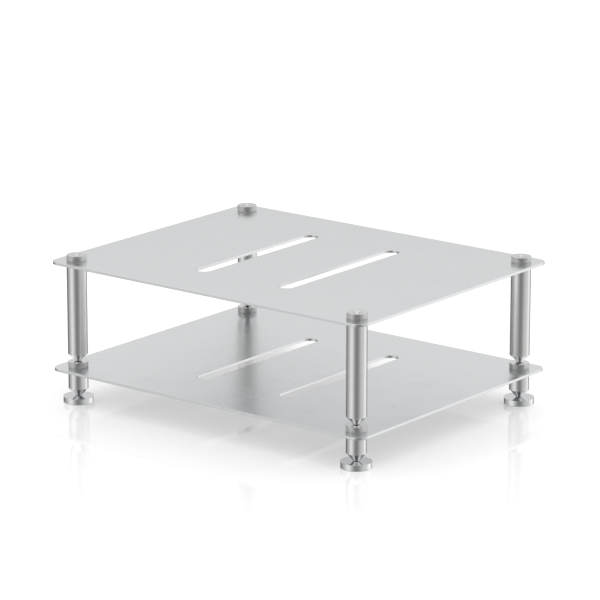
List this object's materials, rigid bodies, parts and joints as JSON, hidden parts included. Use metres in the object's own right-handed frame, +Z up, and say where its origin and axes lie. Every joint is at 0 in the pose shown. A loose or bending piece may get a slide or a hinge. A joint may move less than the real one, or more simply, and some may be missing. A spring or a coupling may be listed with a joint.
{
  "type": "audio equipment rack",
  "caption": "Low open equipment rack with slotted rectangular shelves on round spiked corner posts, knurled nuts and loose foot discs.",
  "frame": {"origin": "on the floor, under the middle of the rack", "axes": "+X along the shelves' long edges, +Y from the front to the back, +Z up; the picture looks from the front right"},
  "size_m": [0.582, 0.462, 0.2265],
  "materials": {
    "shelf": "fine satin anodised plate",
    "post": "turned and satin polished",
    "nut": "turned, with a diamond knurl",
    "spike": "turned and polished stainless steel",
    "stud": "plain stainless steel thread",
    "disc": "turned stainless steel with a polished top"
  },
  "bodies": {
    "lower_tier": {"lower_shelf": "shelf", "foot_pillar_front_left": "post", "foot_pillar_front_right": "post", "foot_pillar_back_right": "post", "foot_pillar_back_left": "post", "lower_stud_front_left": "stud", "lower_stud_front_right": "stud", "lower_stud_back_right": "stud", "lower_stud_back_left": "stud"},
    "foot_spike_front_left": {"foot_spike_front_left": "spike"},
    "foot_spike_front_right": {"foot_spike_front_right": "spike"},
    "foot_spike_back_right": {"foot_spike_back_right": "spike"},
    "foot_spike_back_left": {"foot_spike_back_left": "spike"},
    "foot_disc_front_left": {"foot_disc_front_left": "disc"},
    "foot_disc_front_right": {"foot_disc_front_right": "disc"},
    "foot_disc_back_right": {"foot_disc_back_right": "disc"},
    "foot_disc_back_left": {"foot_disc_back_left": "disc"},
    "lower_nut_front_left": {"lower_nut_front_left": "nut"},
    "lower_nut_front_right": {"lower_nut_front_right": "nut"},
    "lower_nut_back_right": {"lower_nut_back_right": "nut"},
    "lower_nut_back_left": {"lower_nut_back_left": "nut"},
    "post_spikes": {"post_spike_front_left": "spike", "post_spike_front_right": "spike", "post_spike_back_right": "spike", "post_spike_back_left": "spike"},
    "upper_tier": {"upper_shelf": "shelf", "post_front_left": "post", "post_front_right": "post", "post_back_right": "post", "post_back_left": "post", "upper_stud_front_left": "stud", "upper_stud_front_right": "stud", "upper_stud_back_right": "stud", "upper_stud_back_left": "stud"},
    "upper_nut_front_left": {"upper_nut_front_left": "nut"},
    "upper_nut_front_right": {"upper_nut_front_right": "nut"},
    "upper_nut_back_right": {"upper_nut_back_right": "nut"},
    "upper_nut_back_left": {"upper_nut_back_left": "nut"}
  },
  "joints": [
    {"name": "foot_spike_front_left_level", "type": "slide", "parent": "lower_tier", "child": "foot_spike_front_left", "axis": [0, 0, -1], "range_m": [0, 0.005]},
    {"name": "foot_spike_front_right_level", "type": "slide", "parent": "lower_tier", "child": "foot_spike_front_right", "axis": [0, 0, -1], "range_m": [0, 0.005]},
    {"name": "foot_spike_back_right_level", "type": "slide", "parent": "lower_tier", "child": "foot_spike_back_right", "axis": [0, 0, -1], "range_m": [0, 0.005]},
    {"name": "foot_spike_back_left_level", "type": "slide", "parent": "lower_tier", "child": "foot_spike_back_left", "axis": [0, 0, -1], "range_m": [0, 0.005]},
    {"name": "foot_disc_front_left_release", "type": "slide", "parent": "foot_spike_front_left", "child": "foot_disc_front_left", "axis": [0, 0, -1], "range_m": [0, 0.02]},
    {"name": "foot_disc_front_right_release", "type": "slide", "parent": "foot_spike_front_right", "child": "foot_disc_front_right", "axis": [0, 0, -1], "range_m": [0, 0.02]},
    {"name": "foot_disc_back_right_release", "type": "slide", "parent": "foot_spike_back_right", "child": "foot_disc_back_right", "axis": [0, 0, -1], "range_m": [0, 0.02]},
    {"name": "foot_disc_back_left_release", "type": "slide", "parent": "foot_spike_back_left", "child": "foot_disc_back_left", "axis": [0, 0, -1], "range_m": [0, 0.02]},
    {"name": "lower_nut_front_left_turn", "type": "hinge", "parent": "lower_tier", "child": "lower_nut_front_left", "pos_m": [-0.261, -0.201, 0.054], "axis": [0, 0, 1], "continuous": true},
    {"name": "lower_nut_front_right_turn", "type": "hinge", "parent": "lower_tier", "child": "lower_nut_front_right", "pos_m": [0.261, -0.201, 0.054], "axis": [0, 0, 1], "continuous": true},
    {"name": "lower_nut_back_right_turn", "type": "hinge", "parent": "lower_tier", "child": "lower_nut_back_right", "pos_m": [0.261, 0.201, 0.054], "axis": [0, 0, 1], "continuous": true},
    {"name": "lower_nut_back_left_turn", "type": "hinge", "parent": "lower_tier", "child": "lower_nut_back_left", "pos_m": [-0.261, 0.201, 0.054], "axis": [0, 0, 1], "continuous": true},
    {"name": "upper_tier_lift", "type": "slide", "parent": "lower_tier", "child": "post_spikes", "axis": [0, 0, 1], "range_m": [0, 0.06]},
    {"name": "post_spikes_level", "type": "slide", "parent": "post_spikes", "child": "upper_tier", "axis": [0, 0, 1], "range_m": [0, 0.005]},
    {"name": "upper_nut_front_left_turn", "type": "hinge", "parent": "upper_tier", "child": "upper_nut_front_left", "pos_m": [-0.261, -0.201, 0.218], "axis": [0, 0, 1], "continuous": true},
    {"name": "upper_nut_front_right_turn", "type": "hinge", "parent": "upper_tier", "child": "upper_nut_front_right", "pos_m": [0.261, -0.201, 0.218], "axis": [0, 0, 1], "continuous": true},
    {"name": "upper_nut_back_right_turn", "type": "hinge", "parent": "upper_tier", "child": "upper_nut_back_right", "pos_m": [0.261, 0.201, 0.218], "axis": [0, 0, 1], "continuous": true},
    {"name": "upper_nut_back_left_turn", "type": "hinge", "parent": "upper_tier", "child": "upper_nut_back_left", "pos_m": [-0.261, 0.201, 0.218], "axis": [0, 0, 1], "continuous": true}
  ]
}
